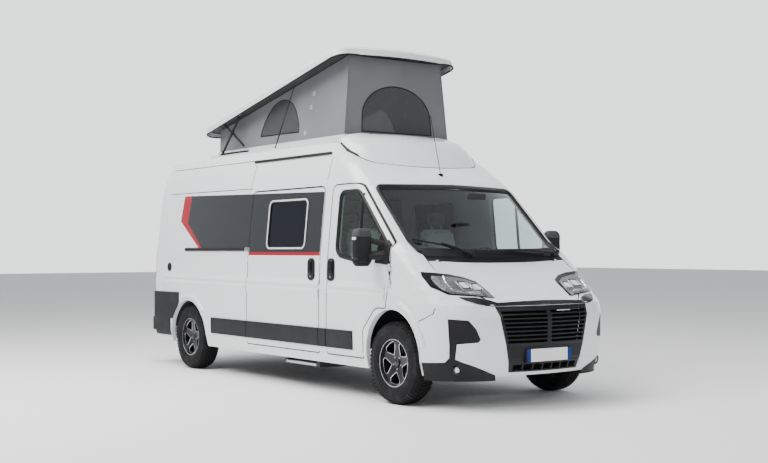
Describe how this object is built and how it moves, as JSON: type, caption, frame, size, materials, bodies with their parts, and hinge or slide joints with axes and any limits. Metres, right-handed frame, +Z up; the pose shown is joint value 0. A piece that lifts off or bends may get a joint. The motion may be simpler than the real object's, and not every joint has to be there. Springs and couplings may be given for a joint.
{
  "type": "camper van with pop-top roof",
  "caption": "High-roof panel camper van with a raised tilting roof shell and canvas tent, opening cab and rear doors, bonnet, sliding step and steered wheels.",
  "frame": {"origin": "on the ground under the middle of the van", "axes": "nose towards -Y, the van's left side towards +X, +Z up"},
  "size_m": [2.512, 5.998, 3.4229],
  "materials": {
    "white_paint": "gloss clear-coated white",
    "black_plastic": "grained black plastic",
    "gloss_black": "gloss black",
    "clear_glass": "tinted safety glass",
    "dark_glass": "smoked acrylic",
    "red_lens": "red lens",
    "lamp_lens": "clear lens",
    "tyre": "black rubber",
    "alloy": "black with machined faces",
    "steel": "black-coated steel",
    "step_metal": "ribbed aluminium",
    "iron": "cast iron",
    "canvas": "grey woven canvas",
    "seat_fabric": "two-tone upholstery",
    "wood": "light oak laminate",
    "dash_plastic": "soft grained plastic"
  },
  "bodies": {
    "van_body": {"aerial": "black_plastic", "bulkhead": "white_paint", "bumper_inserts": "black_plastic", "cab_seats": "seat_fabric", "chassis_rails": "steel", "dashboard": "dash_plastic", "deck_frame": "white_paint", "engine_block": "iron", "fairing": "white_paint", "floor_pan": "white_paint", "front_bumper": "white_paint", "front_subframe": "steel", "furniture": "wood", "grille": "gloss_black", "headlamps": "lamp_lens", "lift_rails": "steel", "rear_arches": "black_plastic", "rear_axle": "steel", "rear_bumper": "black_plastic", "roof_panel": "white_paint", "screen_frame": "white_paint", "scuttle": "black_plastic", "seat_bases": "dash_plastic", "side_glass": "dark_glass", "side_mouldings": "black_plastic", "side_panel_left": "white_paint", "side_panel_right": "white_paint", "sliding_door": "white_paint", "steering_wheel": "dash_plastic", "tail_lamps": "red_lens", "tent": "canvas", "windscreen": "clear_glass", "wing_left": "white_paint", "wing_right": "white_paint"},
    "knuckle_right": {"knuckle_right": "iron"},
    "knuckle_left": {"knuckle_left": "iron"},
    "wheel_front_right": {"tyre_front_right": "tyre", "rim_front_right": "alloy"},
    "wheel_front_left": {"tyre_front_left": "tyre", "rim_front_left": "alloy"},
    "wheel_rear_right": {"tyre_rear_right": "tyre", "rim_rear_right": "alloy"},
    "wheel_rear_left": {"tyre_rear_left": "tyre", "rim_rear_left": "alloy"},
    "cab_door_right": {"cab_door_right": "white_paint", "cab_glass_right": "clear_glass", "door_trim_right": "black_plastic"},
    "cab_door_left": {"cab_door_left": "white_paint", "cab_glass_left": "clear_glass", "door_trim_left": "black_plastic"},
    "rear_door_right": {"rear_door_right": "white_paint", "rear_glass_right": "dark_glass"},
    "rear_door_left": {"rear_door_left": "white_paint", "rear_glass_left": "dark_glass"},
    "bonnet": {"bonnet": "white_paint"},
    "side_step": {"side_step": "step_metal"},
    "lift_arms": {"lift_arms": "steel"},
    "stay_arms": {"stay_arms": "steel"},
    "roof_shell": {"roof_shell": "white_paint"}
  },
  "joints": [
    {"name": "steer_right", "type": "hinge", "parent": "van_body", "child": "knuckle_right", "pos_m": [-0.845, -2.051, 0.232], "axis": [0.2079, 0, 0.9781], "range_deg": [-33, 33]},
    {"name": "steer_left", "type": "hinge", "parent": "van_body", "child": "knuckle_left", "pos_m": [0.845, -2.051, 0.232], "axis": [-0.2079, 0, 0.9781], "range_deg": [-33, 33]},
    {"name": "wheel_front_right_spin", "type": "hinge", "parent": "knuckle_right", "child": "wheel_front_right", "pos_m": [-0.905, -2.051, 0.368], "axis": [1, 0, 0], "continuous": true},
    {"name": "wheel_front_left_spin", "type": "hinge", "parent": "knuckle_left", "child": "wheel_front_left", "pos_m": [0.905, -2.051, 0.368], "axis": [1, 0, 0], "continuous": true},
    {"name": "wheel_rear_right_spin", "type": "hinge", "parent": "van_body", "child": "wheel_rear_right", "pos_m": [-0.895, 1.984, 0.368], "axis": [1, 0, 0], "continuous": true},
    {"name": "wheel_rear_left_spin", "type": "hinge", "parent": "van_body", "child": "wheel_rear_left", "pos_m": [0.895, 1.984, 0.368], "axis": [1, 0, 0], "continuous": true},
    {"name": "cab_door_right_swing", "type": "hinge", "parent": "van_body", "child": "cab_door_right", "pos_m": [-1.029, -2.024, 1.1], "axis": [0, 0, 1], "range_deg": [0, 70]},
    {"name": "cab_door_left_swing", "type": "hinge", "parent": "van_body", "child": "cab_door_left", "pos_m": [1.029, -2.024, 1.1], "axis": [0, 0, -1], "range_deg": [0, 70]},
    {"name": "rear_door_right_swing", "type": "hinge", "parent": "van_body", "child": "rear_door_right", "pos_m": [-0.912, 2.979, 1.3], "axis": [0, 0, 1], "range_deg": [0, 170]},
    {"name": "rear_door_left_swing", "type": "hinge", "parent": "van_body", "child": "rear_door_left", "pos_m": [0.912, 2.979, 1.3], "axis": [0, 0, -1], "range_deg": [0, 170]},
    {"name": "bonnet_lift", "type": "hinge", "parent": "van_body", "child": "bonnet", "pos_m": [0, -2.315, 1.276], "axis": [-1, 0, 0], "range_deg": [0, 50]},
    {"name": "step_slide", "type": "slide", "parent": "van_body", "child": "side_step", "axis": [-1, 0, 0], "range_m": [0, 0.22]},
    {"name": "roof_lift", "type": "hinge", "parent": "van_body", "child": "lift_arms", "pos_m": [0, 1.633, 2.502], "axis": [1, 0, 0], "range_deg": [0, 39], "deforming": ["tent"]},
    {"name": "roof_shell_tilt", "type": "hinge", "parent": "lift_arms", "child": "roof_shell", "pos_m": [0, 1.228, 2.902], "axis": [1, 0, 0], "range_deg": [-27.5, 0.5]},
    {"name": "stay_turn", "type": "hinge", "parent": "lift_arms", "child": "stay_arms", "pos_m": [0, 1.42879, 2.70369], "axis": [1, 0, 0], "range_deg": [-68.11, 0.5]}
  ],
  "couplings": [
    {"joint": "steer_left", "follows": "steer_right", "ratio": 1},
    {"joint": "roof_shell_tilt", "follows": "roof_lift", "ratio": -0.69231},
    {"joint": "stay_turn", "follows": "roof_lift", "ratio": -1.7337}
  ]
}
